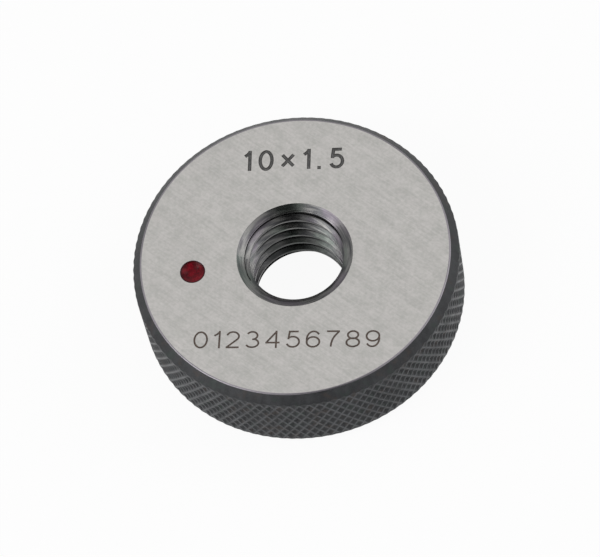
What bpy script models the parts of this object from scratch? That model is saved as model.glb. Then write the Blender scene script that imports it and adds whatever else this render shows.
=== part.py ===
# Thread ring gauge: one hardened steel ring with a diamond-knurled rim, two ground faces,
# a countersunk bore with an internal screw thread, and a drilled dimple that is filled with paint.
# Metres, +Z up. The origin is the centre of the bottom face, and the dimple is in the top face.

from math import atan2, ceil, hypot, pi, radians, tan

import bmesh
import bpy
from mathutils import Matrix

# Ring
OUTER_DIAMETER = 0.0320  # over the ridges of the knurl
THICKNESS = 0.0090
CHAMFER_WIDTH = 0.00085  # seen from above
CHAMFER_HEIGHT = 0.00093  # along the axis

# Diamond knurl on the rim
KNURL_PITCH = 0.000966  # from ridge to ridge around the rim
KNURL_ANGLE = radians(30)  # between each set of ridges and the axis
KNURL_DEPTH = 0.0002  # of the pits between the ridges

# Right-hand internal thread with wide roots and short, truncated flanks
THREAD_DIAMETER = 0.0100  # at the roots
THREAD_PITCH = 0.0015
THREAD_DEPTH = 0.00048  # from the roots in to the flat crests
ROOT_FLAT = 0.00065
FLANK_ANGLE = radians(30)  # between a flank and a plane square to the axis
THREAD_BEARING = radians(250)  # where a root passes through the plane of the bottom face

# Mouth at each end of the bore: a wide countersink, a short straight wall, and the thread's lead
MOUTH_WIDENING = 0.0007  # from the roots out to the edge of the mouth
COUNTERSINK_ANGLE = radians(60)  # between the countersink and the axis
WALL_WIDENING = 0.00008  # from the roots out to the straight wall
WALL_HEIGHT = 0.00006
LEAD_ANGLE = radians(50)  # between the axis and the cone that starts the thread

# Drilled dimple
DIMPLE_DIAMETER = 0.0025
DIMPLE_POINT_ANGLE = radians(59)  # between the drill's cone and the drill's axis
DIMPLE_DISTANCE = 0.01008  # from the axis of the ring to the axis of the dimple
DIMPLE_BEARING = radians(189.9)  # counterclockwise from +X

# Facets
BORE_STEPS = 48
DIMPLE_STEPS = 24
CUT_PAST = 0.0002  # how far each cutter runs past what it cuts
SHARP_FROM = radians(25)  # an edge that turns by more than this stays sharp

outer_radius = OUTER_DIAMETER / 2
band_height = THICKNESS - 2 * CHAMFER_HEIGHT
teeth = round(pi * OUTER_DIAMETER / KNURL_PITCH)
rows = max(2, round(band_height / (KNURL_PITCH / 2 / tan(KNURL_ANGLE))))
row_height = band_height / rows

root_radius = THREAD_DIAMETER / 2
crest_radius = root_radius - THREAD_DEPTH
mouth_radius = root_radius + MOUTH_WIDENING
wall_radius = root_radius + WALL_WIDENING
countersink_depth = (mouth_radius - wall_radius) / tan(COUNTERSINK_ANGLE)
wall_depth = countersink_depth + WALL_HEIGHT
lead_depth = wall_depth + (wall_radius - crest_radius) / tan(LEAD_ANGLE)


def clear_scene():
    for leftover in list(bpy.data.objects):
        bpy.data.objects.remove(leftover, do_unlink=True)


def make_material(name, colour, roughness, metallic):
    material = bpy.data.materials.new(name)
    material.use_nodes = True
    shader = material.node_tree.nodes["Principled BSDF"]
    shader.inputs["Base Color"].default_value = (*colour, 1)
    shader.inputs["Roughness"].default_value = roughness
    shader.inputs["Metallic"].default_value = metallic
    return material


def make_object(name, shape, materials):
    mesh = bpy.data.meshes.new(name)
    shape.to_mesh(mesh)
    shape.free()
    for material in materials:
        mesh.materials.append(material)
    made = bpy.data.objects.new(name, mesh)
    bpy.context.scene.collection.objects.link(made)
    return made


def turned(profile, steps):
    # Revolves (radius, height) points about Z, then closes both ends with flat discs.
    shape = bmesh.new()
    points = [shape.verts.new((radius, 0, height)) for radius, height in profile]
    lines = [shape.edges.new(pair) for pair in zip(points, points[1:])]
    bmesh.ops.spin(
        shape,
        geom=points + lines,
        cent=(0, 0, 0),
        axis=(0, 0, 1),
        angle=2 * pi,
        steps=steps,
        use_merge=True,
    )
    rims = [edge for edge in shape.edges if edge.is_boundary]
    bmesh.ops.holes_fill(shape, edges=rims)
    bmesh.ops.recalc_face_normals(shape, faces=shape.faces)
    return shape


def turned_blank():
    face_radius = outer_radius - CHAMFER_WIDTH
    band = [(outer_radius, CHAMFER_HEIGHT + row_height * row) for row in range(rows + 1)]
    return turned([(face_radius, 0), *band, (face_radius, THICKNESS)], 2 * teeth)


def press_knurl(shape):
    # Two sets of crossing ridges leave a four-sided pit at every second point of the band.
    # The ridges cross at the points between, and no pit reaches the chamfers.
    def row_of(vert):
        return round((vert.co.z - CHAMFER_HEIGHT) / row_height)

    def in_pit(vert):
        column = round(atan2(vert.co.y, vert.co.x) / (pi / teeth))
        return (row_of(vert) + column) % 2 == 0

    band = []
    for face in shape.faces:
        if all(hypot(*vert.co.xy) > outer_radius - CHAMFER_WIDTH / 2 for vert in face.verts):
            band.append(face)
    pits = {vert for face in band for vert in face.verts if in_pit(vert)}
    for face in band:
        bmesh.utils.face_split(face, *(vert for vert in face.verts if not in_pit(vert)))
    for vert in pits:
        if 0 < row_of(vert) < rows:
            vert.co.xy *= 1 - KNURL_DEPTH / outer_radius


def bore_drill():
    past = CUT_PAST * tan(COUNTERSINK_ANGLE)
    half = [
        (mouth_radius + past, -CUT_PAST),
        (wall_radius, countersink_depth),
        (wall_radius, wall_depth),
        (crest_radius, lead_depth),
    ]
    other = [(radius, THICKNESS - height) for radius, height in reversed(half)]
    return turned(half + other, BORE_STEPS)


def thread_tap():
    # One groove section, swept up a right-hand helix from below the ring to above it.
    # It reaches into the bore as far as where half of the crest's width is left between turns.
    def half_width(radius):
        return ROOT_FLAT / 2 + (root_radius - radius) * tan(FLANK_ANGLE)

    shape = bmesh.new()
    crest_width = THREAD_PITCH - 2 * half_width(crest_radius)
    inside = crest_radius - crest_width / 4 / tan(FLANK_ANGLE)
    corners = [
        (inside, -half_width(inside)),
        (root_radius, -half_width(root_radius)),
        (root_radius, half_width(root_radius)),
        (inside, half_width(inside)),
    ]
    points = [shape.verts.new((radius, 0, height)) for radius, height in corners]
    section = shape.faces.new(points)
    turns = ceil(THICKNESS / THREAD_PITCH) + 2
    bmesh.ops.spin(
        shape,
        geom=[section, *section.edges, *section.verts],
        cent=(0, 0, 0),
        axis=(0, 0, 1),
        dvec=(0, 0, THREAD_PITCH / BORE_STEPS),
        angle=2 * pi * turns,
        steps=turns * BORE_STEPS,
    )
    bmesh.ops.recalc_face_normals(shape, faces=shape.faces)
    place = Matrix.Translation((0, 0, -THREAD_PITCH)) @ Matrix.Rotation(THREAD_BEARING, 4, "Z")
    bmesh.ops.transform(shape, matrix=place, verts=shape.verts)
    return shape


def dimple_drill():
    # The drill's point, widened upward past the face that it starts in.
    radius = DIMPLE_DIAMETER / 2
    depth = radius / tan(DIMPLE_POINT_ANGLE)
    shape = bmesh.new()
    bmesh.ops.create_cone(
        shape,
        cap_ends=True,
        segments=DIMPLE_STEPS,
        radius1=0,
        radius2=radius + CUT_PAST * tan(DIMPLE_POINT_ANGLE),
        depth=depth + CUT_PAST,
    )
    bmesh.ops.translate(shape, vec=(0, 0, (CUT_PAST - depth) / 2), verts=shape.verts)
    bmesh.ops.remove_doubles(shape, verts=shape.verts, dist=CUT_PAST / 100)
    bmesh.ops.recalc_face_normals(shape, faces=shape.faces)
    place = Matrix.Rotation(DIMPLE_BEARING, 4, "Z") @ Matrix.Translation((DIMPLE_DISTANCE, 0, THICKNESS))
    bmesh.ops.transform(shape, matrix=place, verts=shape.verts)
    return shape


def cut(target, name, shape, material):
    cutter = make_object(name, shape, [material])
    cutter.hide_render = True
    cutter.display_type = "WIRE"
    modifier = target.modifiers.new(name, "BOOLEAN")
    modifier.operation = "DIFFERENCE"
    modifier.solver = "EXACT"
    modifier.material_mode = "TRANSFER"
    modifier.object = cutter


def apply_cuts(target):
    # The finished edges can only be marked sharp on the mesh that the cuts leave.
    graph = bpy.context.evaluated_depsgraph_get()
    target.data = bpy.data.meshes.new_from_object(target.evaluated_get(graph))
    cutters = [modifier.object for modifier in target.modifiers]
    target.modifiers.clear()
    for cutter in cutters:
        bpy.data.objects.remove(cutter, do_unlink=True)


def main():
    clear_scene()
    oxide = make_material("black_oxide", (0.045, 0.048, 0.052), 0.45, 0.6)
    ground = make_material("ground_steel", (0.46, 0.45, 0.44), 0.38, 0.9)
    paint = make_material("red_paint", (0.28, 0.005, 0.012), 0.15, 0.0)

    blank = turned_blank()
    press_knurl(blank)
    ring = make_object("ring_gauge", blank, [oxide, ground, paint])
    for face in ring.data.polygons:
        if abs(face.normal.z) > 0.999:
            face.material_index = 1
    cut(ring, "bore_drill", bore_drill(), oxide)
    cut(ring, "thread_tap", thread_tap(), oxide)
    cut(ring, "dimple_drill", dimple_drill(), paint)
    apply_cuts(ring)
    ring.data.shade_smooth()
    ring.data.set_sharp_from_angle(angle=SHARP_FROM)


main()
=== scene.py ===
from math import atan2, cos, hypot, pi, radians, sin, tan

import bmesh
import bpy
import numpy as np
from mathutils import Matrix, Vector
from mathutils.geometry import delaunay_2d_cdt


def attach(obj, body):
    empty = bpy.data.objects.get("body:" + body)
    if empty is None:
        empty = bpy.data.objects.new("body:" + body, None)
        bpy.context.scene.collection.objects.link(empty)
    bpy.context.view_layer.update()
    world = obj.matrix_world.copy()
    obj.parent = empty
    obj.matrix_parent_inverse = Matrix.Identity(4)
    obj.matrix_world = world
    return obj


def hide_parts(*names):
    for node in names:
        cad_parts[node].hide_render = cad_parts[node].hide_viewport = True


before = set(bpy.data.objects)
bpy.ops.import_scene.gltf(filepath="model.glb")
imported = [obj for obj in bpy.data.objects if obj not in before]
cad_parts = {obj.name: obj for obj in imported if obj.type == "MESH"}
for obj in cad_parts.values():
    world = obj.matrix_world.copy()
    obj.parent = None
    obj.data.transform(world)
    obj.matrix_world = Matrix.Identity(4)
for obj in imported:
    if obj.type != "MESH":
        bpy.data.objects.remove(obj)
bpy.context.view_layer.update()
mm = 0.001  # every length below is in millimetres, and meshes are brought to metres at the end


def meshObject(name, points, faces, material):
    mesh = bpy.data.meshes.new(name)
    mesh.from_pydata([tuple(p) for p in points], [], [tuple(f) for f in faces])
    mesh.materials.append(material)
    made = bpy.data.objects.new(name, mesh)
    bpy.context.scene.collection.objects.link(made)
    return made


def fixNormals(thing):
    shape = bmesh.new()
    shape.from_mesh(thing.data)
    bmesh.ops.recalc_face_normals(shape, faces=shape.faces)
    shape.to_mesh(thing.data)
    shape.free()


def cutFrom(target, cutter):
    # the surface that a cut leaves has the cutter's material
    target.data.materials.append(cutter.data.materials[0])
    step = target.modifiers.new(cutter.name, "BOOLEAN")
    step.operation = "DIFFERENCE"
    step.solver = "EXACT"
    step.material_mode = "TRANSFER"
    step.object = cutter
    graph = bpy.context.evaluated_depsgraph_get()
    target.data = bpy.data.meshes.new_from_object(target.evaluated_get(graph))
    target.modifiers.clear()
    bpy.data.objects.remove(cutter, do_unlink=True)


def newGroup(name, inputs, outputs):
    tree = bpy.data.node_groups.new(name, "ShaderNodeTree")
    for label, kind, value in inputs:
        socket = tree.interface.new_socket(label, in_out="INPUT", socket_type="NodeSocket" + kind)
        if value is not None:
            socket.default_value = value
    for label, kind in outputs:
        tree.interface.new_socket(label, in_out="OUTPUT", socket_type="NodeSocket" + kind)
    start = tree.nodes.new("NodeGroupInput")
    end = tree.nodes.new("NodeGroupOutput")
    return tree, start.outputs, end.inputs


def feed(tree, socket, value):
    # a socket takes another node's output, or a plain value
    if isinstance(value, bpy.types.NodeSocket):
        tree.links.new(value, socket)
    else:
        socket.default_value = value


def addNode(tree, kind, settings=None, **inputs):
    made = tree.nodes.new("ShaderNode" + kind)
    for key, value in (settings or {}).items():
        setattr(made, key, value)
    for label, value in inputs.items():
        feed(tree, made.inputs[label], value)
    return made


def mathNode(tree, operation, *values, clamp=False):
    made = addNode(tree, "Math", {"operation": operation, "use_clamp": clamp})
    for socket, value in zip(made.inputs, values):
        feed(tree, socket, value)
    return made.outputs[0]


def mapRange(tree, value, low, high, toLow=0.0, toHigh=1.0):
    made = addNode(tree, "MapRange", {"interpolation_type": "SMOOTHSTEP"})
    for socket, part in zip(made.inputs, (value, low, high, toLow, toHigh)):
        feed(tree, socket, part)
    return made.outputs[0]


def mixColour(tree, amount, first, second):
    made = addNode(tree, "Mix", {"data_type": "RGBA"})
    feed(tree, made.inputs[0], amount)
    for socket, colour in zip(made.inputs[6:8], (first, second)):
        feed(tree, socket, (*colour, 1) if isinstance(colour, tuple) else colour)
    return made.outputs[2]


def fromAxis(tree, x, y):
    squares = [mathNode(tree, "POWER", part, 2.0) for part in (x, y)]
    return mathNode(tree, "SQRT", mathNode(tree, "ADD", *squares))


# the next four effects are node groups, because more than one finish uses each
def makeGrindLines():
    tree, given, result = newGroup("grindLines", [
        ("Place", "Vector", None),
        ("Angle", "Float", 0.0),
        ("Lines per mm", "Float", 8.0),
        ("Length mm", "Float", 3.0),
    ], [("Value", "Float")])
    axis = {"rotation_type": "Z_AXIS"}
    turned = addNode(tree, "VectorRotate", axis, Vector=given["Place"], Angle=given["Angle"])
    x, y, _ = addNode(tree, "SeparateXYZ", Vector=turned.outputs[0]).outputs
    across = mathNode(tree, "MULTIPLY", y, 1 / mm)
    across = mathNode(tree, "MULTIPLY", across, given["Lines per mm"])
    along = mathNode(tree, "MULTIPLY", x, 1 / mm)
    along = mathNode(tree, "DIVIDE", along, given["Length mm"])
    joined = addNode(tree, "CombineXYZ", X=along, Y=across, Z=3.7)  # any one slice of the noise
    lines = addNode(tree, "TexNoise", Vector=joined.outputs[0], Scale=1.0, Detail=3.0, Roughness=0.6)
    tree.links.new(lines.outputs[0], result["Value"])
    return tree


def makeTurnedLines():
    tree, given, result = newGroup("turnedLines", [
        ("Place", "Vector", None),
        ("Lines per mm", "Float", 12.0),
        ("Unevenness", "Float", 0.4),
    ], [("Value", "Float")])
    x, y, z = addNode(tree, "SeparateXYZ", Vector=given["Place"]).outputs
    across = mathNode(tree, "SUBTRACT", fromAxis(tree, x, y), z)
    across = mathNode(tree, "MULTIPLY", across, 1 / mm)
    across = mathNode(tree, "MULTIPLY", across, given["Lines per mm"])
    around = mathNode(tree, "ARCTAN2", y, x)
    around = mathNode(tree, "MULTIPLY", around, given["Unevenness"])
    joined = addNode(tree, "CombineXYZ", X=across, Y=around, Z=1.3)
    lines = addNode(tree, "TexNoise", Vector=joined.outputs[0], Scale=1.0, Detail=2.0, Roughness=0.55)
    tree.links.new(lines.outputs[0], result["Value"])
    return tree


def makeMottle():
    tree, given, result = newGroup("mottle", [
        ("Place", "Vector", None),
        ("Patch mm", "Float", 2.0),
        ("Grain mm", "Float", 0.25),
        ("Grain share", "Float", 0.35),
    ], [("Value", "Float")])

    def patches(size, detail):
        scale = mathNode(tree, "DIVIDE", 1 / mm, size)
        place = given["Place"]
        noise = addNode(tree, "TexNoise", Vector=place, Scale=scale, Detail=detail, Roughness=0.6)
        return noise.outputs[0]

    share = given["Grain share"]
    rest = mathNode(tree, "SUBTRACT", 1.0, share)
    large = mathNode(tree, "MULTIPLY", patches(given["Patch mm"], 2.0), rest)
    small = mathNode(tree, "MULTIPLY", patches(given["Grain mm"], 4.0), share)
    tree.links.new(mathNode(tree, "ADD", large, small), result["Value"])
    return tree


def makeEdgeWear():
    tree, given, result = newGroup("edgeWear", [
        ("Place", "Vector", None),
        ("Height", "Float", 0.0),
        ("Starts at", "Float", 0.75),
        ("Strength", "Float", 0.6),
    ], [("Mask", "Float")])
    patch = 2.6 * mm
    sway = 0.5  # how far the patches move the height at which the wear starts
    full = 1.05  # height at which the wear is full
    noise = addNode(tree, "TexNoise", Vector=given["Place"], Scale=1 / patch, Detail=5.0, Roughness=0.7)
    patchy = mathNode(tree, "MULTIPLY", noise.outputs[0], sway)
    height = mathNode(tree, "ADD", given["Height"], patchy)
    height = mathNode(tree, "SUBTRACT", height, sway / 2)
    worn = mapRange(tree, height, given["Starts at"], full)
    tree.links.new(mathNode(tree, "MULTIPLY", worn, given["Strength"], clamp=True), result["Mask"])
    return tree


grindLines = makeGrindLines()
turnedLines = makeTurnedLines()
mottle = makeMottle()
edgeWear = makeEdgeWear()


def placeGroup(tree, group, place, **values):
    made = tree.nodes.new("ShaderNodeGroup")
    made.node_tree = group
    tree.links.new(place, made.inputs["Place"])
    for label, value in values.items():
        feed(tree, made.inputs[label.replace("_", " ")], value)
    return made.outputs[0]


def newFinish(name, **sockets):
    material = bpy.data.materials.new(name)
    material.use_nodes = True
    tree = material.node_tree
    shader = tree.nodes["Principled BSDF"]
    for label, value in sockets.items():
        shader.inputs[label.replace("_", " ")].default_value = value
    place = tree.nodes.new("ShaderNodeTexCoord").outputs["Object"]
    return material, tree, shader, place


def bumpInto(tree, shader, height, distance, strength=1.0):
    bump = addNode(tree, "Bump", Height=height, Distance=distance, Strength=strength)
    tree.links.new(bump.outputs[0], shader.inputs["Normal"])


groundSteel = {
    "dark": (0.372, 0.364, 0.350),
    "light": (0.472, 0.460, 0.443),
    "cloudDark": (0.345, 0.347, 0.328),
    "cloudLight": (0.502, 0.482, 0.472),
    "cloudShare": 0.55,  # of the clouds in the colour, where the rest is the grinding lines
    "scratch": (0.60, 0.59, 0.58),
    "scratchShare": 0.25,
    "roughness": (0.36, 0.41),
    "lineAngle": radians(34),  # direction of the grinding lines on the faces
    "longTurn": 0.09,  # from that direction to the long lines, in radians
    "crossTurn": -0.5,  # and to the scratches that cross them
    "lineDepth": 0.012,
}


def makeGroundSteel():
    look = groundSteel
    material, tree, shader, place = newFinish("groundSteel", Metallic=1.0)

    def grind(turn, density, length):
        angle = look["lineAngle"] + turn
        return placeGroup(tree, grindLines, place, Angle=angle, Lines_per_mm=density, Length_mm=length)

    fine = grind(0.0, 9.0, 2.2)
    long = grind(look["longTurn"], 3.2, 9.0)
    cross = grind(look["crossTurn"], 6.0, 3.0)
    cloud = placeGroup(tree, mottle, place, Patch_mm=1.5, Grain_mm=0.30, Grain_share=0.55)
    halves = [mathNode(tree, "MULTIPLY", layer, 0.5) for layer in (fine, long)]
    lines = mathNode(tree, "ADD", *halves)
    colour = mixColour(tree, mapRange(tree, lines, 0.36, 0.64), look["dark"], look["light"])
    clouds = mixColour(tree, mapRange(tree, cloud, 0.34, 0.66), look["cloudDark"], look["cloudLight"])
    colour = mixColour(tree, look["cloudShare"], colour, clouds)
    scratched = mapRange(tree, cross, 0.66, 0.72, 0.0, look["scratchShare"])
    colour = mixColour(tree, scratched, colour, look["scratch"])
    tree.links.new(colour, shader.inputs["Base Color"])
    low, high = look["roughness"]
    tree.links.new(mapRange(tree, cloud, 0.35, 0.65, low, high), shader.inputs["Roughness"])
    bumpInto(tree, shader, lines, look["lineDepth"] * mm, 0.3)
    return material


brightEdge = {
    "dark": (0.165, 0.155, 0.170),
    "light": (0.250, 0.233, 0.255),
    "roughness": (0.36, 0.52),
}


def makeBrightEdge():
    look = brightEdge
    material, tree, shader, place = newFinish("brightEdge", Metallic=1.0)
    turned = placeGroup(tree, turnedLines, place, Lines_per_mm=14.0, Unevenness=2.0)
    colour = mixColour(tree, mapRange(tree, turned, 0.35, 0.65), look["dark"], look["light"])
    tree.links.new(colour, shader.inputs["Base Color"])
    low, high = look["roughness"]
    tree.links.new(mapRange(tree, turned, 0.3, 0.7, low, high), shader.inputs["Roughness"])
    return material


blackOxide = {
    "dark": (0.026, 0.027, 0.029),
    "light": (0.046, 0.047, 0.050),
    "brown": (0.054, 0.044, 0.040),
    "green": (0.034, 0.045, 0.040),
    "tintShare": 0.6,  # of the brown and the green, at most
    "tintSize": 1.1,
    "worn": (0.150, 0.157, 0.168),
    "roughness": (0.38, 0.54),
    "grainDepth": 0.014,
}


def makeBlackOxide(name, turnedShare, wearStart, wear, shine):
    look = blackOxide
    material, tree, shader, place = newFinish(name, Specular_IOR_Level=shine)
    cloud = placeGroup(tree, mottle, place, Patch_mm=1.8, Grain_mm=0.12, Grain_share=0.45)
    turned = placeGroup(tree, turnedLines, place, Lines_per_mm=11.0, Unevenness=1.5)
    height = addNode(tree, "Attribute", {"attribute_name": "height"}).outputs["Fac"]
    worn = placeGroup(tree, edgeWear, place, Height=height, Starts_at=wearStart, Strength=wear)
    scale, share = 1 / (look["tintSize"] * mm), look["tintShare"]
    tint = addNode(tree, "TexNoise", Vector=place, Scale=scale, Detail=3.0).outputs[0]
    colour = mixColour(tree, mapRange(tree, cloud, 0.36, 0.64), look["dark"], look["light"])
    colour = mixColour(tree, mapRange(tree, tint, 0.54, 0.70, 0.0, share), colour, look["brown"])
    colour = mixColour(tree, mapRange(tree, tint, 0.46, 0.30, 0.0, share), colour, look["green"])
    colour = mixColour(tree, worn, colour, look["worn"])
    tree.links.new(colour, shader.inputs["Base Color"])
    tree.links.new(mapRange(tree, worn, 0.0, 0.5, 0.1, 0.8), shader.inputs["Metallic"])
    low, high = look["roughness"]
    tree.links.new(mapRange(tree, cloud, 0.35, 0.65, low, high), shader.inputs["Roughness"])
    grain = mathNode(tree, "MULTIPLY", cloud, 1 - turnedShare)
    rings = mathNode(tree, "MULTIPLY", turned, turnedShare)
    bumpInto(tree, shader, mathNode(tree, "ADD", grain, rings), look["grainDepth"] * mm, 0.7)
    return material


boreSteel = {
    "dark": (0.075, 0.076, 0.080),
    "light": (0.20, 0.197, 0.192),
    "green": (0.115, 0.145, 0.124),
    "violet": (0.160, 0.135, 0.168),
    "tintShare": 0.5,  # of the green and the violet, at most
    "tintSize": 3.2,
    # the colour of the painted shade in the roots and toward the lower face
    "oxide": (0.018, 0.018, 0.019),
    "roughness": (0.22, 0.38),
    "rootReach": (4.80, 4.97),  # radii at which the painted shade in the roots starts and is full
    "firstTurn": (7.7, 8.3),  # heights over which it thins out in the first turn of the thread
    "firstRootShare": 0.3,  # how much of it is left there
    "deepHeight": (1.5, 6.5),  # heights between which painted shade darkens the bore downward
    "deepShare": 0.30,  # how much of the colour is left at the bottom of the bore
}


def makeBoreSteel(name, gain, rootShadeShare):
    look = boreSteel
    material, tree, shader, place = newFinish(name, Metallic=1.0)
    turned = placeGroup(tree, turnedLines, place, Lines_per_mm=10.0, Unevenness=2.2)
    cloud = placeGroup(tree, mottle, place, Patch_mm=2.0, Grain_mm=0.3, Grain_share=0.3)
    scale, share = 1 / (look["tintSize"] * mm), look["tintShare"]
    tint = addNode(tree, "TexNoise", Vector=place, Scale=scale, Detail=1.0).outputs[0]
    tones = ("dark", "light", "green", "violet")
    scaled = {tone: tuple(gain * part for part in look[tone]) for tone in tones}
    colour = mixColour(tree, mapRange(tree, turned, 0.33, 0.67), scaled["dark"], scaled["light"])
    colour = mixColour(tree, mapRange(tree, tint, 0.50, 0.68, 0.0, share), colour, scaled["green"])
    colour = mixColour(tree, mapRange(tree, tint, 0.46, 0.32, 0.0, share), colour, scaled["violet"])
    # painted shade: the roots are darkened, and the bore more so toward its lower face
    x, y, z = addNode(tree, "SeparateXYZ", Vector=place).outputs
    low, high = (mm * radius for radius in look["rootReach"])
    rootShade = mapRange(tree, fromAxis(tree, x, y), low, high)
    rootShade = mathNode(tree, "MULTIPLY", rootShade, rootShadeShare)
    low, high = (mm * height for height in look["firstTurn"])
    firstTurnFade = mapRange(tree, z, low, high, 1.0, look["firstRootShare"])
    rootShade = mathNode(tree, "MULTIPLY", rootShade, firstTurnFade)
    colour = mixColour(tree, rootShade, colour, look["oxide"])
    # painted shade: the bore darkens toward its lower face
    low, high = (mm * height for height in look["deepHeight"])
    deep = mapRange(tree, z, low, high, 1 - look["deepShare"], 0.0)
    colour = mixColour(tree, deep, colour, look["oxide"])
    tree.links.new(colour, shader.inputs["Base Color"])
    low, high = look["roughness"]
    tree.links.new(mapRange(tree, cloud, 0.35, 0.65, low, high), shader.inputs["Roughness"])
    bumpInto(tree, shader, turned, 0.01 * mm, 0.6)
    return material


def makeMarking(name, dark, light, metallic):
    material, tree, shader, place = newFinish(name, Metallic=metallic)
    grain = placeGroup(tree, mottle, place, Patch_mm=0.5, Grain_mm=0.09, Grain_share=0.6)
    colour = mixColour(tree, mapRange(tree, grain, 0.40, 0.60), dark, light)
    tree.links.new(colour, shader.inputs["Base Color"])
    tree.links.new(mapRange(tree, grain, 0.3, 0.7, 0.5, 0.75), shader.inputs["Roughness"])
    bumpInto(tree, shader, grain, 0.01 * mm, 0.6)
    return material


faceSteel = makeGroundSteel()
edgeSteel = makeBrightEdge()
knurlOxide = makeBlackOxide("knurlOxide", turnedShare=0.0, wearStart=0.88, wear=0.36, shine=0.12)
chamferOxide = makeBlackOxide("chamferOxide", turnedShare=0.75, wearStart=0.90, wear=0.05, shine=0.21)
threadSteel = makeBoreSteel("threadSteel", gain=0.78, rootShadeShare=0.95)
mouthSteel = makeBoreSteel("mouthSteel", gain=0.82, rootShadeShare=0.0)
etchedGrey = makeMarking("etchedGrey", (0.040, 0.039, 0.038), (0.125, 0.125, 0.125), metallic=0.3)
etchedBlack = makeMarking("etchedBlack", (0.016, 0.014, 0.013), (0.042, 0.038, 0.035), metallic=0.0)
laserBrown = makeMarking("laserBrown", (0.042, 0.028, 0.022), (0.098, 0.068, 0.052), metallic=0.0)
laserDark = makeMarking("laserDark", (0.06, 0.045, 0.038), (0.10, 0.075, 0.062), metallic=0.2)
print("finishes made: ground steel, bright edge, black oxide, bore steel, markings")


ring = {
    "radius": 16.0,  # over the tips of the knurl
    "thickness": 9.0,
    "chamferWidth": 0.85,  # seen from above
    "chamferHeight": 0.93,
    "edgeReach": 0.10,  # from the corner of the face to each end of its rounding
    "edgeSteps": 3,
    "weld": 0.0001,  # points of the rim and the core this close together become one
    "sharpFrom": radians(26),  # an edge that turns by more than this stays sharp
}

rimFinishes = [knurlOxide, chamferOxide, edgeSteel]

knurl = {
    "teeth": 104,
    "rows": 9,
    "depth": 0.20,  # of the pits
    "samples": (0.0, 0.07, 0.28, 0.5, 0.72, 0.93),  # across one ridge to ridge pitch
    "ridgeHalf": 0.07,  # half of the ridge's flat top, in pitches
    "uneven": 0.16,  # how much one row of pits differs from the next in depth
    "seed": 7,
    "runOut": 0.6,  # rows over which the pits become shallower toward each chamfer
    "endShare": 0.42,  # of the depth, where a chamfer cuts through the pits
}


def knurledBand():
    # two crossing sets of helical ridges, sampled along the ridges themselves
    samples = knurl["samples"]
    n = len(samples)
    across = knurl["rows"] * n
    turn = knurl["teeth"] * n
    bandHeight = ring["thickness"] - 2 * ring["chamferHeight"]
    rowHeight = bandHeight / knurl["rows"]
    random = np.random.default_rng(knurl["seed"])
    depths = 1 - knurl["uneven"] * random.random((2, knurl["teeth"]))

    def along(index):
        return index // n + samples[index % n]

    def sink(index, family):
        share = samples[index % n]
        fromRidge = min(share, 1 - share)
        slope = max(0.0, fromRidge - knurl["ridgeHalf"]) / (0.5 - knurl["ridgeHalf"])
        return slope * depths[family][(index // n) % knurl["teeth"]]

    points, heights = [], []
    for u in range(turn):
        for d in range(across + 1):
            v = u - d
            angle = pi / knurl["teeth"] * (along(u) + along(v) + knurl["rows"] % 2)
            z = rowHeight * (along(u) - along(v))
            fromEnd = min(1.0, min(z, bandHeight - z) / (rowHeight * knurl["runOut"]))
            down = min(sink(u, 0), sink(v, 1)) * (knurl["endShare"] + (1 - knurl["endShare"]) * fromEnd)
            # at the ends the pits follow the chamfer's cone
            if d in (0, across):
                climb = knurl["depth"] * down * ring["chamferHeight"] / ring["chamferWidth"]
                z += climb if d else -climb
            points.append((ring["radius"] - knurl["depth"] * down, angle, ring["chamferHeight"] + z))
            heights.append(1 - down)

    def at(u, d):
        return (u % turn) * (across + 1) + d

    faces = []
    for u in range(turn):
        faces.append((at(u, 0), at(u + 1, 1), at(u + 1, 0)))
        faces.append((at(u, across), at(u + 1, across), at(u, across - 1)))
        for d in range(1, across):
            corners = at(u, d), at(u + 1, d + 1), at(u + 1, d), at(u, d - 1)
            if (u % n < n // 2) == ((u - d) % n < n // 2):
                faces.append((corners[0], corners[1], corners[2]))
                faces.append((corners[0], corners[2], corners[3]))
            else:
                faces.append((corners[0], corners[1], corners[3]))
                faces.append((corners[1], corners[2], corners[3]))
    ends = [at(u, 0) for u in range(turn)], [at(u, across) for u in range(turn)]
    return points, heights, faces, ends


def makeRim():
    points, heights, faces, ends = knurledBand()
    shape = bmesh.new()
    height = shape.verts.layers.float.new("height")
    verts = []
    for (radius, angle, z), tall in zip(points, heights):
        vert = shape.verts.new((radius * cos(angle), radius * sin(angle), z))
        vert[height] = tall
        verts.append(vert)
    for face in faces:
        shape.faces.new([verts[i] for i in face])
    rings = []
    for end, loop in enumerate(ends):
        last = roundEdge(shape, [verts[i] for i in loop], end, height)
        rings.append([tuple(vert.co) for vert in last])
    return shape, rings


def roundEdge(shape, loop, end, height):
    # from the lattice's last ring down the chamfer, and over the rounding onto the face
    width, tall, reach = ring["chamferWidth"], ring["chamferHeight"], ring["edgeReach"]
    corner = Vector((ring["radius"] - width, 0.0))
    onCone = corner + Vector((width, tall)).normalized() * reach
    onFace = corner - Vector((reach, 0.0))
    section = []
    for step in range(ring["edgeSteps"] + 1):
        t = step / ring["edgeSteps"]
        section.append(onCone * (1 - t) ** 2 + corner * 2 * t * (1 - t) + onFace * t ** 2)
    angles = [atan2(vert.co.y, vert.co.x) for vert in loop]
    before = loop
    for step, (radius, depth) in enumerate(section):
        z = depth if end == 0 else ring["thickness"] - depth
        after = [shape.verts.new((radius * cos(a), radius * sin(a), z)) for a in angles]
        for index in range(len(loop)):
            following = (index + 1) % len(loop)
            face = shape.faces.new((before[index], before[following], after[following], after[index]))
            face.material_index = rimFinishes.index(edgeSteel if step else chamferOxide)
        for vert in after:
            vert[height] = 1.0
        before = after
    return before


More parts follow.
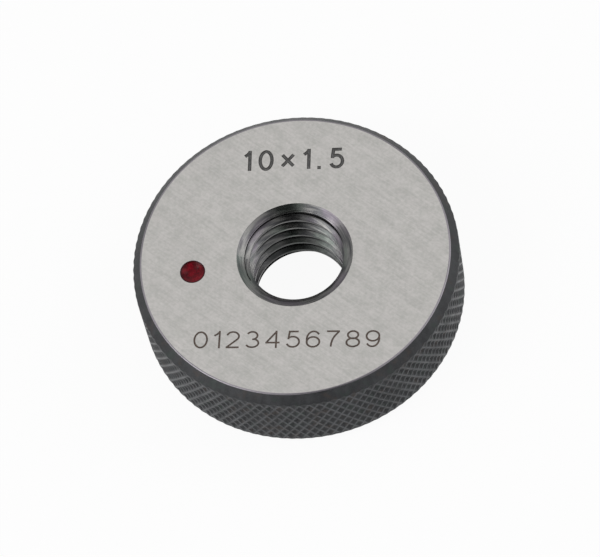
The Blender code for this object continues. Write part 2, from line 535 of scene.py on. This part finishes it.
def makeCore(rings):
    # the solid disc inside the rim, with its two flat faces
    bottom, top = rings
    bottom.sort(key=lambda p: atan2(p[1], p[0]))
    top.sort(key=lambda p: atan2(p[1], p[0]))
    count = len(bottom)
    faces = [range(count), range(count, 2 * count)]
    for index in range(count):
        following = (index + 1) % count
        faces.append((index, following, count + index))
        faces.append((following, count + following, count + index))
    core = meshObject("core", bottom + top, faces, faceSteel)
    fixNormals(core)
    return core


thread = {
    "root": 5.0,  # radius, as for the others
    "crest": 4.52,
    "rootFlat": 0.65,
    "flankAngle": radians(30),  # between a flank and a plane square to the axis
    "pitch": 1.5,
    "bearing": radians(250),  # where a root passes through the plane of the bottom face
    "columns": 192,
    "mouth": 5.7,
    "mouthAngle": radians(60),  # between the countersink and the axis
    "wall": 5.08,  # a short straight wall inside the countersink
    "wallHeight": 0.06,
    "leadAngle": radians(55),  # between the axis and the cone that starts the thread
    "coneSteps": 180,
    "past": 0.2,  # how far the countersink's cutter runs past the face
}


def lathe(name, profile, steps, material):
    # profile goes from one point on the axis to the other
    points = [(0, 0, profile[0][1])]
    for radius, z in profile[1:-1]:
        for step in range(steps):
            angle = 2 * pi * step / steps
            points.append((radius * cos(angle), radius * sin(angle), z))
    points.append((0, 0, profile[-1][1]))
    faces = []
    last = len(points) - 1
    levels = len(profile) - 2
    for step in range(steps):
        following = (step + 1) % steps
        faces.append((0, 1 + following, 1 + step))
        faces.append((last, 1 + (levels - 1) * steps + step, 1 + (levels - 1) * steps + following))
        for level in range(levels - 1):
            low, high = 1 + level * steps, 1 + (level + 1) * steps
            faces.append((low + step, low + following, high + following, high + step))
    made = meshObject(name, points, faces, material)
    fixNormals(made)
    return made


def threadTap():
    # a grid that follows the helix: one column of rows for each step round the bore
    slope = tan(thread["flankAngle"])
    root, crest, pitch = thread["root"], thread["crest"], thread["pitch"]
    rootHalf = thread["rootFlat"] / 2
    crestHalf = rootHalf + (root - crest) * slope
    # from the middle of a root to the middle of a crest, as height and radius, with rounded corners
    half = [
        (0.0, root),
        (rootHalf - 0.05, root - 0.004),
        (rootHalf + 0.02, root - 0.05),
        (rootHalf + 0.10, root - 0.10 / slope),
        (rootHalf + 0.18, root - 0.18 / slope),
        (crestHalf - 0.022, crest + 0.022 / slope),
        (crestHalf - 0.004, crest + 0.012),
        (crestHalf + 0.02, crest + 0.002),
        (crestHalf + 0.07, crest),
        (pitch / 2, crest),
    ]
    section = half + [(pitch - offset, radius) for offset, radius in reversed(half[1:-1])]
    perPitch = len(section)
    turns = int(ring["thickness"] / pitch) + 3
    columns = thread["columns"]
    start = -2 * pitch  # well below the ring, and the tap ends well above it
    points = []
    for column in range(columns):
        angle = thread["bearing"] + 2 * pi * column / columns
        for row in range(perPitch * turns + 1):
            offset, radius = section[row % perPitch]
            z = start + pitch * (row // perPitch + column / columns) + offset
            points.append((radius * cos(angle), radius * sin(angle), z))
    rows = perPitch * turns + 1

    def at(column, row):
        return column * rows + row if column < columns else row + perPitch

    faces = []
    for column in range(columns):
        # the last column joins the first one a pitch higher up, so it ends a pitch earlier
        skipped = perPitch if column == columns - 1 else 0
        for row in range(rows - 1 - skipped):
            near, nearUp = at(column, row), at(column, row + 1)
            far, farUp = at(column + 1, row), at(column + 1, row + 1)
            faces.append((near, far, farUp, nearUp))
    bottomLoop = [at(column, 0) for column in range(columns)]
    bottomLoop += [perPitch - step for step in range(perPitch)]
    topRow = rows - 1
    topLoop = [at(column, topRow) for column in range(columns)]
    topLoop += [at(columns - 1, topRow - step) for step in range(1, perPitch + 1)]
    points.append((0, 0, start - pitch))
    for a, b in zip(bottomLoop, bottomLoop[1:] + bottomLoop[:1]):
        faces.append((a, b, len(points) - 1))
    points.append((0, 0, start + pitch * (turns + 2)))
    for a, b in zip(topLoop, topLoop[1:] + topLoop[:1]):
        faces.append((b, a, len(points) - 1))
    made = meshObject("threadTap", points, faces, threadSteel)
    fixNormals(made)
    return made


def mouthCone(top):
    # a wide countersink, a short straight wall, and the cone that starts the thread
    past = thread["past"]
    face = ring["thickness"] if top else 0.0
    way = 1 if top else -1
    wide = tan(thread["mouthAngle"])
    wall = thread["wall"]
    wallTop = -(thread["mouth"] - wall) / wide
    wallFoot = wallTop - thread["wallHeight"]
    profile = [
        (0, wallFoot - wall / tan(thread["leadAngle"])),
        (wall, wallFoot),
        (wall, wallTop),
        (thread["mouth"] + past * wide, past),
        (0, past),
    ]
    profile = [(radius, face + way * height) for radius, height in profile]
    return lathe("mouthCone", profile, thread["coneSteps"], mouthSteel)


dimple = {
    "radius": 1.25,
    "pointAngle": radians(59),
    "distance": 10.08,
    "bearing": radians(189.9),
    "steps": 96,
    "past": 0.1,  # how far the drill's cutter runs past the face
}


def dimpleCentre():
    return dimple["distance"] * cos(dimple["bearing"]), dimple["distance"] * sin(dimple["bearing"])


def dimplePlace():
    turned = Matrix.Rotation(dimple["bearing"], 4, "Z")
    return turned @ Matrix.Translation((dimple["distance"], 0, ring["thickness"]))


def dimpleDrill():
    past, wide = dimple["past"], tan(dimple["pointAngle"])
    profile = [(0, -dimple["radius"] / wide), (dimple["radius"] + past * wide, past), (0, past)]
    made = lathe("dimpleDrill", profile, dimple["steps"], edgeSteel)
    made.data.transform(dimplePlace())
    return made


paint = {
    # radius and depth of points from the middle of its surface to its edge
    "surface": (
        (0.0, 0.50), (0.18, 0.49), (0.42, 0.42), (0.72, 0.29),
        (1.00, 0.15), (1.16, 0.06), (1.22, 0.012),
    ),
    "film": 0.004,  # clear of the drilled cone
    "sharpFrom": radians(50),
    "dark": (0.060, 0.0008, 0.004),
    "light": (0.20, 0.004, 0.012),
    # the colour of the painted shade at the paint's edge
    "rimShade": (0.028, 0.0009, 0.0015),
    "rimShadeFrom": (0.95, 1.22),  # radii between which painted shade darkens the paint toward its edge, over the drill's edge
    "roughness": (0.18, 0.34),
    "shine": 0.10,
    "bump": 0.03,
}


def makeRedPaint():
    look = paint
    material, tree, shader, place = newFinish("redPaint", Metallic=0.0, Specular_IOR_Level=look["shine"])
    cloud = placeGroup(tree, mottle, place, Patch_mm=0.9, Grain_mm=0.16, Grain_share=0.35)
    colour = mixColour(tree, mapRange(tree, cloud, 0.36, 0.64), look["dark"], look["light"])
    # painted shade: a dark ring toward the paint's edge
    apart = addNode(tree, "VectorMath", {"operation": "DISTANCE"})
    feed(tree, apart.inputs[0], place)
    feed(tree, apart.inputs[1], [mm * part for part in (*dimpleCentre(), ring["thickness"])])
    low, high = (mm * radius for radius in look["rimShadeFrom"])
    rimShade = mapRange(tree, apart.outputs["Value"], low, high)
    colour = mixColour(tree, rimShade, colour, look["rimShade"])
    tree.links.new(colour, shader.inputs["Base Color"])
    low, high = look["roughness"]
    tree.links.new(mapRange(tree, cloud, 0.3, 0.7, low, high), shader.inputs["Roughness"])
    bumpInto(tree, shader, cloud, look["bump"] * mm, 0.5)
    return material


redPaint = makeRedPaint()


def makeDimplePaint():
    slope = 1 / tan(dimple["pointAngle"])
    film = paint["film"]
    rim, rimDepth = paint["surface"][-1]
    edge = dimple["radius"] - film - rimDepth / slope
    outer = [(0, -dimple["radius"] * slope + film * 2), (edge, -rimDepth)]
    inner = [(radius * edge / rim, -depth) for radius, depth in reversed(paint["surface"][:-1])]
    made = lathe("dimplePaint", outer + inner, dimple["steps"], redPaint)
    made.data.transform(dimplePlace())
    return made


def arcPath(cx, cy, rx, ry, fromDeg, toDeg, steps=20):
    angles = [radians(fromDeg + (toDeg - fromDeg) * step / steps) for step in range(steps + 1)]
    return [(cx + rx * cos(a), cy + ry * sin(a)) for a in angles]


def ovalPath(cx, cy, rx, ry, steps=36):
    return arcPath(cx, cy, rx, ry, 90, 450, steps)[:-1] + ["closed"]


def turnedOver(paths):
    def turned(point):
        return point if point == "closed" else (1 - point[0], 1 - point[1])

    return [[turned(point) for point in path] for path in paths]


def glyphPaths():
    # each glyph's width in digits, and its strokes' centre lines in a box one unit wide and high
    six = [ovalPath(0.5, 0.32, 0.5, 0.32), arcPath(0.53, 0.5, 0.53, 0.5, 38, 196)]
    four = [[(0.74, -0.06), (0.74, 1.06)], [(0.76, 1.02), (0.03, 0.30)], [(-0.04, 0.29), (1.0, 0.29)]]
    return {
        "0": (1.0, [ovalPath(0.5, 0.5, 0.5, 0.5)]),
        "1": (0.42, [[(0.0, 0.76), (0.55, 0.86), (1.0, 1.0)], [(1.0, 1.08), (1.0, -0.06)]]),
        "2": (1.0, [arcPath(0.5, 0.71, 0.47, 0.29, 165, -38) + [(0.04, 0.01)], [(-0.03, 0.0), (1.0, 0.0)]]),
        "3": (1.0, [arcPath(0.47, 0.755, 0.40, 0.245, 155, -90), arcPath(0.47, 0.27, 0.5, 0.27, 80, -155)]),
        "4": (1.08, four),
        "5": (1.0, [[(0.9, 1.0), (0.2, 1.0), (0.11, 0.50)], arcPath(0.47, 0.335, 0.5, 0.335, 138, -158)]),
        "6": (1.0, six),
        "7": (1.0, [[(0.0, 1.0), (1.02, 1.0)], [(0.97, 1.0)] + arcPath(1.35, 0.0, 1.0, 1.0, 128, 180, 8)]),
        "8": (1.0, [ovalPath(0.5, 0.76, 0.41, 0.24), ovalPath(0.5, 0.27, 0.5, 0.27)]),
        "9": (1.0, turnedOver(six)),
        "×": (0.95, [[(0.0, 0.14), (1.0, 0.78)], [(0.0, 0.78), (1.0, 0.14)]]),
        ".": (0.12, [[(0.0, 0.0), (1.0, 0.0)]]),
    }


upperMarking = {
    "name": "upper marking",
    "text": "10×1.5",
    "centre": (-0.526, 10.64),
    "angle": radians(1.0),
    "height": 2.36,  # outside of the strokes
    "digit": 1.52,  # width of a digit, outside of the strokes
    "gap": 0.68,
    "stroke": 0.35,
    "floorShare": 0.45,  # of the stroke's width, between its sloping walls
    "depth": 0.07,
    "finishes": (etchedGrey, etchedBlack),  # of the floor and of the walls
}

lowerMarking = {
    "name": "lower marking",
    "text": "0123456789",
    "centre": (-0.39, -9.27),
    "angle": radians(-0.4),
    "height": 1.85,
    "digit": 1.42,
    "gap": 0.50,
    "stroke": 0.19,
    "floorShare": 0.5,
    "depth": 0.03,
    "finishes": (laserBrown, laserDark),
}

markings = (upperMarking, lowerMarking)


def strokeBands(path, width):
    # one four-sided patch for each length of the stroke, mitred at its corners
    mitreLimit = 0.6  # a sharper mitre than this is cut short
    closed = path[-1] == "closed"
    line = [Vector(point) for point in path if point != "closed"]
    count = len(line)
    left, right = [], []
    for index, point in enumerate(line):
        before = line[index - 1] if closed or index else None
        after = line[(index + 1) % count] if closed or index + 1 < count else None
        ways = []
        if before is not None:
            ways.append((point - before).normalized())
        if after is not None:
            ways.append((after - point).normalized())
        sides = [Vector((-way.y, way.x)) for way in ways]
        side = (sides[0] + sides[-1]).normalized()
        side *= width / 2 / max(mitreLimit, side.dot(sides[0]))
        left.append(point + side)
        right.append(point - side)
    last = count if closed else count - 1
    return [(left[i], right[i], right[(i + 1) % count], left[(i + 1) % count]) for i in range(last)]


def placedStrokes(look):
    # each stroke's centre line on the marked face
    glyphs = glyphPaths()
    stroke = look["stroke"]
    tall, unit = look["height"] - stroke, look["digit"] - stroke
    widths = [glyphs[letter][0] * unit + stroke for letter in look["text"]]
    x = -(sum(widths) + look["gap"] * (len(widths) - 1)) / 2
    print(look["name"], "is", round(-2 * x, 2), "mm wide")
    turn = Matrix.Rotation(look["angle"], 2)
    paths = []
    for letter, width in zip(look["text"], widths):
        for path in glyphs[letter][1]:
            placed = []
            for point in path:
                if point != "closed":
                    across = x + stroke / 2 + point[0] * (width - stroke)
                    if letter == ".":  # a square, one stroke wide
                        across = x + point[0] * stroke
                    local = Vector((across, (point[1] - 0.5) * tall))
                    point = tuple(turn @ local + Vector(look["centre"]))
                placed.append(point)
            paths.append(placed)
        x += width + look["gap"]
    return paths


def isMarkedFace(face):
    top = ring["thickness"]
    return face.normal.z > 0.999 and abs(face.calc_center_median().z - top) < 0.001


def markFace(shape, firstMaterial):
    # the marked face is laid out again, with the strokes of the markings let into it
    top = ring["thickness"]
    flat = [face for face in shape.faces if isMarkedFace(face)]
    inFlat = set(flat)
    border = [edge for edge in shape.edges if sum(face in inFlat for face in edge.link_faces) == 1]
    bmesh.ops.delete(shape, geom=flat, context="FACES_KEEP_BOUNDARY")
    verts = list(dict.fromkeys(vert for edge in border for vert in edge.verts))
    number = {vert: index for index, vert in enumerate(verts)}
    coords = [vert.co.xy.copy() for vert in verts]
    edges = [tuple(number[vert] for vert in edge.verts) for edge in border]
    patches, kinds = [], []
    for which, look in enumerate(markings):
        for path in placedStrokes(look):
            for share in (1.0, look["floorShare"]):
                for corners in strokeBands(path, look["stroke"] * share):
                    patches.append(tuple(range(len(coords), len(coords) + 4)))
                    coords += corners
                    kinds.append((which, share == 1.0))
    laid, _, triangles, origins, _, owners = delaunay_2d_cdt(coords, edges, patches, 0, 1e-6, True)
    points = []
    for place, ids in zip(laid, origins):
        known = [i for i in ids if i < len(verts)]
        points.append(verts[known[0]] if known else shape.verts.new((*place, top)))
    slack = 0.0005  # for triangles that lie right on a circle
    faceEnd = ring["radius"] - ring["chamferWidth"] - ring["edgeReach"]
    hole = Vector(dimpleCentre())
    floors, walls, beside = {}, {}, set()
    for corners, ids in zip(triangles, owners):
        middle = sum((laid[i] for i in corners), Vector((0, 0))) / 3
        found = [kinds[i] for i in ids]
        inBore = middle.length < thread["mouth"] - slack
        inDimple = (middle - hole).length < dimple["radius"] - slack
        if middle.length > faceEnd or (not found and (inBore or inDimple)):
            continue
        face = shape.faces.new([points[i] for i in corners])
        if not found:
            beside.update(corners)
            continue
        which = found[0][0]
        depth = markings[which]["depth"]
        inFloor = any(not whole for _, whole in found)
        face.material_index = firstMaterial + 2 * which + (0 if inFloor else 1)
        for i in corners:
            if inFloor:
                floors[i] = depth
            else:
                walls[i] = depth / 2
    for i, deep in [*walls.items(), *floors.items()]:
        if i not in beside:
            points[i].co.z = top - deep
    bmesh.ops.recalc_face_normals(shape, faces=shape.faces)


def isWall(face):
    # the core's own outer wall, which the rim takes the place of
    near = ring["radius"] - ring["chamferWidth"] - 2 * ring["edgeReach"]
    return abs(face.normal.z) < 0.1 and hypot(*face.calc_center_median().xy) > near


def makeGaugeRing():
    rim, rings = makeRim()
    print("rim:", len(rim.faces), "faces")
    core = makeCore(rings)
    cutFrom(core, threadTap())
    for top in (False, True):
        cutFrom(core, mouthCone(top))
    cutFrom(core, dimpleDrill())
    print("core:", len(core.data.polygons), "faces,", len(core.data.materials), "materials")

    inside = bmesh.new()
    inside.from_mesh(core.data)
    bmesh.ops.delete(inside, geom=[face for face in inside.faces if isWall(face)], context="FACES")
    markFace(inside, len(core.data.materials))
    for look in markings:
        for finish in look["finishes"]:
            core.data.materials.append(finish)
    inside.to_mesh(core.data)
    inside.free()
    coreMaterials = list(core.data.materials)
    rimMesh = bpy.data.meshes.new("rim")
    rim.to_mesh(rimMesh)
    rim.free()

    whole = bmesh.new()
    whole.from_mesh(rimMesh)
    rimCount = len(whole.faces)
    whole.from_mesh(core.data)
    whole.faces.ensure_lookup_table()
    for face in whole.faces[rimCount:]:
        face.material_index += len(rimFinishes)
    bmesh.ops.remove_doubles(whole, verts=whole.verts, dist=ring["weld"])
    loose = [edge for edge in whole.edges if not edge.is_manifold]
    print("ring:", len(whole.faces), "faces,", len(loose), "open edges")
    bmesh.ops.recalc_face_normals(whole, faces=whole.faces)
    for face in whole.faces:
        face.smooth = abs(face.normal.z) < 0.9999
    bmesh.ops.scale(whole, vec=(mm, mm, mm), verts=whole.verts)
    mesh = bpy.data.meshes.new("gaugeRing")
    whole.to_mesh(mesh)
    whole.free()
    for material in rimFinishes + coreMaterials:
        mesh.materials.append(material)
    mesh.set_sharp_from_angle(angle=ring["sharpFrom"])
    made = bpy.data.objects.new("gaugeRing", mesh)
    bpy.context.scene.collection.objects.link(made)
    bpy.data.objects.remove(core, do_unlink=True)
    return made


gaugeRing = makeGaugeRing()
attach(gaugeRing, "root")
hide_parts("ring_gauge")
print("gauge ring made")

dimplePaint = makeDimplePaint()
dimplePaint.data.transform(Matrix.Scale(mm, 4))
dimplePaint.data.shade_smooth()
dimplePaint.data.set_sharp_from_angle(angle=paint["sharpFrom"])
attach(dimplePaint, "root")
print("paint made")


studio = {
    "horizonLevel": 0.75,  # of the light from the horizon
    "worldLevel": 0.45,  # and from high up
    "worldFrom": 0.5,  # height of a direction from which on up it counts as high
    "floorSize": 4.0,  # in metres, as the distances and sizes below
    "floorGap": 0.02 * mm,  # just clear of the ring's lower face
    "floorColour": (0.86, 0.86, 0.86),
    "floorShadow": 0.06,  # how much of the floor's own shading the camera sees
    "lamps": (
        # name, bearing from the camera's right in degrees, elevation, distance, size, power
        ("softboxLeft", -162, 38, 0.9, 0.55, 3.3),
        ("softboxRight", 2, 35, 0.9, 0.60, 2.0),
        ("softboxTop", 90, 63, 1.0, 0.85, 0.3),
    ),
    "flag": {"bearing": -90, "elevation": 42, "distance": 0.7, "wide": 0.42, "tall": 0.85, "level": 0.05},
}

camera = {
    "position": (42.24695, -169.54920, 320.41149),
    "target": (0.64026, -2.67387, 9.0),
    "lens": 220.406,
    "roll": radians(-13.2134),
    "azimuth": radians(14),  # of the camera's right, which the bearings in the studio count from
}


def wayTo(bearing, elevation):
    turn, up = radians(bearing) + camera["azimuth"], radians(elevation)
    return Vector((cos(turn) * cos(up), sin(turn) * cos(up), sin(up)))


def flatSheet(name, wide, tall, z, material):
    x, y = wide / 2, tall / 2
    corners = [(-x, -y, z), (x, -y, z), (x, y, z), (-x, y, z)]
    return meshObject(name, corners, [(0, 1, 2, 3)], material)


def backdropRays(tree):
    # the camera, the metal and anything clear all see the plain white background
    path = tree.nodes.new("ShaderNodeLightPath").outputs
    reflected = mathNode(tree, "MAXIMUM", path["Is Glossy Ray"], path["Is Transmission Ray"])
    return mathNode(tree, "MAXIMUM", path["Is Camera Ray"], reflected)


def makeWorld():
    world = bpy.data.worlds.new("studioWorld")
    bpy.context.scene.world = world
    world.use_nodes = True
    tree = world.node_tree
    background = tree.nodes["Background"]
    background.inputs["Color"].default_value = (1, 1, 1, 1)
    way = tree.nodes.new("ShaderNodeTexCoord").outputs["Generated"]
    up = addNode(tree, "SeparateXYZ", Vector=way).outputs[2]
    level = mapRange(tree, up, 0.0, studio["worldFrom"], studio["horizonLevel"], studio["worldLevel"])
    tree.links.new(level, background.inputs["Strength"])
    backdrop = addNode(tree, "Background", Color=(1, 1, 1, 1), Strength=1.0)
    mixed = tree.nodes.new("ShaderNodeMixShader")
    tree.links.new(backdropRays(tree), mixed.inputs[0])
    tree.links.new(background.outputs[0], mixed.inputs[1])
    tree.links.new(backdrop.outputs[0], mixed.inputs[2])
    tree.links.new(mixed.outputs[0], tree.nodes["World Output"].inputs["Surface"])


def makeFloor():
    material = bpy.data.materials.new("paleFloor")
    material.use_nodes = True
    tree = material.node_tree
    tree.nodes.remove(tree.nodes["Principled BSDF"])
    matt = addNode(tree, "BsdfDiffuse", Color=(*studio["floorColour"], 1))
    white = addNode(tree, "Emission", Color=(1, 1, 1, 1), Strength=1.0)
    amount = mathNode(tree, "MULTIPLY", backdropRays(tree), 1 - studio["floorShadow"])
    mixed = tree.nodes.new("ShaderNodeMixShader")
    tree.links.new(amount, mixed.inputs[0])
    tree.links.new(matt.outputs[0], mixed.inputs[1])
    tree.links.new(white.outputs[0], mixed.inputs[2])
    tree.links.new(mixed.outputs[0], tree.nodes["Material Output"].inputs["Surface"])
    side = studio["floorSize"]
    floor = flatSheet("floor", side, side, -studio["floorGap"], material)


def makeLamps():
    for name, bearing, elevation, distance, size, power in studio["lamps"]:
        data = bpy.data.lights.new(name, "AREA")
        data.shape = "SQUARE"
        data.size = size
        data.energy = power
        lamp = bpy.data.objects.new(name, data)
        bpy.context.scene.collection.objects.link(lamp)
        way = wayTo(bearing, elevation)
        lamp.location = way * distance
        lamp.rotation_euler = (-way).to_track_quat("-Z", "Y").to_euler()


def makeFlag():
    # a dark cloth behind the camera, which only the bright metal reflects
    flag = studio["flag"]
    material = bpy.data.materials.new("darkCloth")
    material.use_nodes = True
    tree = material.node_tree
    tree.nodes.remove(tree.nodes["Principled BSDF"])
    dark = addNode(tree, "Emission", Color=(1, 1, 1, 1), Strength=flag["level"])
    tree.links.new(dark.outputs[0], tree.nodes["Material Output"].inputs["Surface"])
    made = flatSheet("flag", flag["wide"], flag["tall"], 0.0, material)
    way = wayTo(flag["bearing"], flag["elevation"])
    made.location = way * flag["distance"]
    made.rotation_euler = way.to_track_quat("Z", "Y").to_euler()
    made.visible_camera = False
    made.visible_diffuse = False
    made.visible_transmission = False
    made.visible_shadow = False


def makeCamera():
    # looks at the target, then turns about that line by the roll
    position = Vector(camera["position"]) * mm
    target = Vector(camera["target"]) * mm
    forward = (target - position).normalized()
    right = forward.cross(Vector((0, 0, 1))).normalized()
    up = right.cross(forward)
    c, s = cos(camera["roll"]), sin(camera["roll"])
    x = right * c + up * s
    y = up * c - right * s
    data = bpy.data.cameras.new("camera")
    data.lens = camera["lens"]
    data.sensor_width = 36
    data.clip_start, data.clip_end = 0.01, 10
    made = bpy.data.objects.new("camera", data)
    bpy.context.scene.collection.objects.link(made)
    turn = Matrix((x, y, -forward)).transposed().to_4x4()
    made.matrix_world = Matrix.Translation(position) @ turn
    bpy.context.scene.camera = made


makeWorld()
makeFloor()
makeLamps()
makeFlag()
makeCamera()
bpy.context.scene.view_settings.view_transform = "Standard"
print("studio set")
